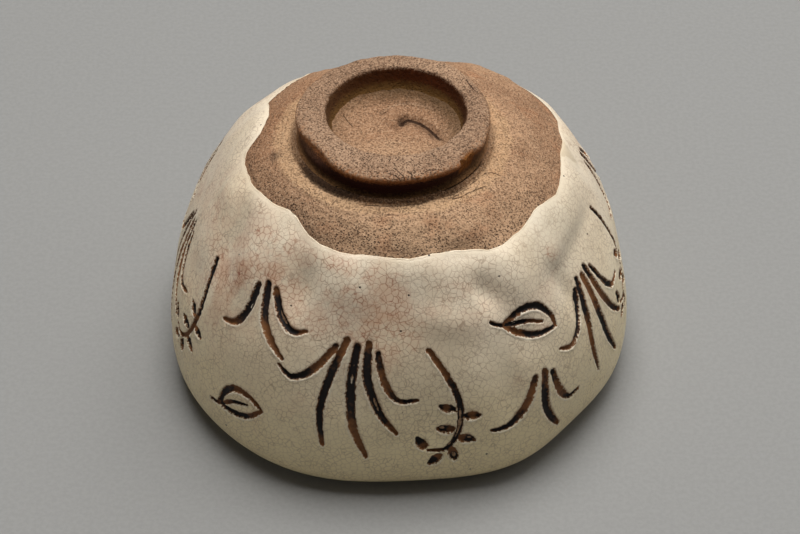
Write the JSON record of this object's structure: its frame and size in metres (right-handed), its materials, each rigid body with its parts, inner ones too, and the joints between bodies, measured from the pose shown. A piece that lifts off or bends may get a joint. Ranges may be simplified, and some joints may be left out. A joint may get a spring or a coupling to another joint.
{
  "type": "tea bowl",
  "caption": "Hand-formed stoneware tea bowl with a thick cream crackle glaze, iron-filled carved marks, a bare shoulder and an off-centre foot ring, standing on its lip.",
  "frame": {"origin": "on the table, under the middle of the bowl's outline seen from above", "axes": "The bowl stands upside down, as pictured: +Z points from its lip up to its foot, and -Y is the side that faces the camera. For use it is turned half a turn about X."},
  "size_m": [0.1162, 0.1194, 0.074],
  "materials": {
    "stoneware": "bare, coarse and matt, pinkish brown",
    "foot_clay": "bare, coarse and matt, speckled brown",
    "outer_glaze": "cream crackle glaze, satin gloss",
    "inner_glaze": "cream crackle glaze, satin gloss"
  },
  "bodies": {
    "root": {"clay_body": "stoneware", "foot_ring": "foot_clay", "outer_glaze": "outer_glaze", "inner_glaze": "inner_glaze"}
  },
  "joints": []
}
